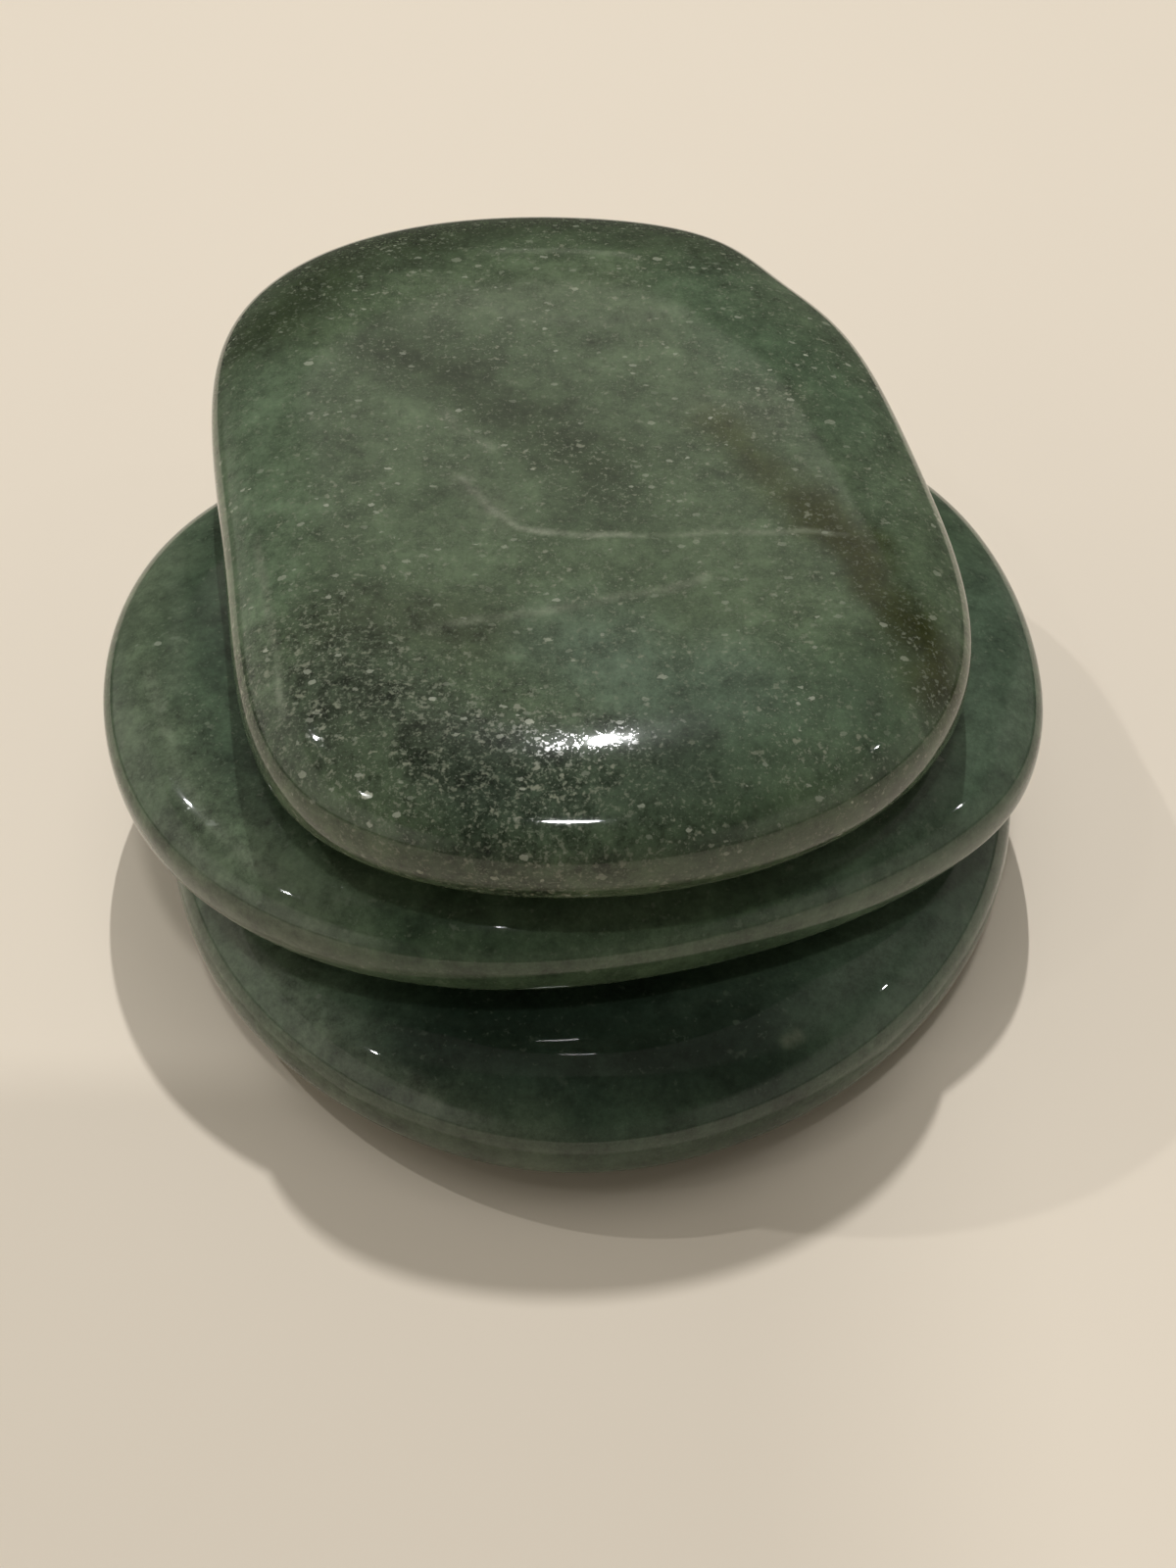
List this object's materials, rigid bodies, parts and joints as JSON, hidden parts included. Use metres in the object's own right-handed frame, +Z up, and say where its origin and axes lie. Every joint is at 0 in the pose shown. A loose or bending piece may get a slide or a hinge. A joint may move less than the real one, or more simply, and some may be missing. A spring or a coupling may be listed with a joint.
{
  "type": "gua sha massage stone set",
  "caption": "Loose pile of flat polished green stones for gua sha and hot stone massage, with full rounded rims; each stone lifts off the one below.",
  "frame": {"origin": "middle of the lowest stone's underside, where the pile rests", "axes": "+X to the right and +Y to the back as the pile is pictured, +Z up"},
  "size_m": [0.0996, 0.1107, 0.0426],
  "materials": {
    "bottom_stone": "polished dark green stone",
    "middle_stone": "polished green stone with pale veins along the rim",
    "top_stone": "polished grey-green stone with pale mica flecks and a brown streak"
  },
  "bodies": {
    "bottom_stone": {"bottom_stone": "bottom_stone"},
    "middle_stone": {"middle_stone": "middle_stone"},
    "top_stone": {"top_stone": "top_stone"}
  },
  "joints": [
    {"name": "middle_stone_lift", "type": "slide", "parent": "bottom_stone", "child": "middle_stone", "axis": [0, 0, 1], "range_m": [0, 0.06]},
    {"name": "top_stone_lift", "type": "slide", "parent": "middle_stone", "child": "top_stone", "axis": [0, 0, 1], "range_m": [0, 0.06]}
  ]
}
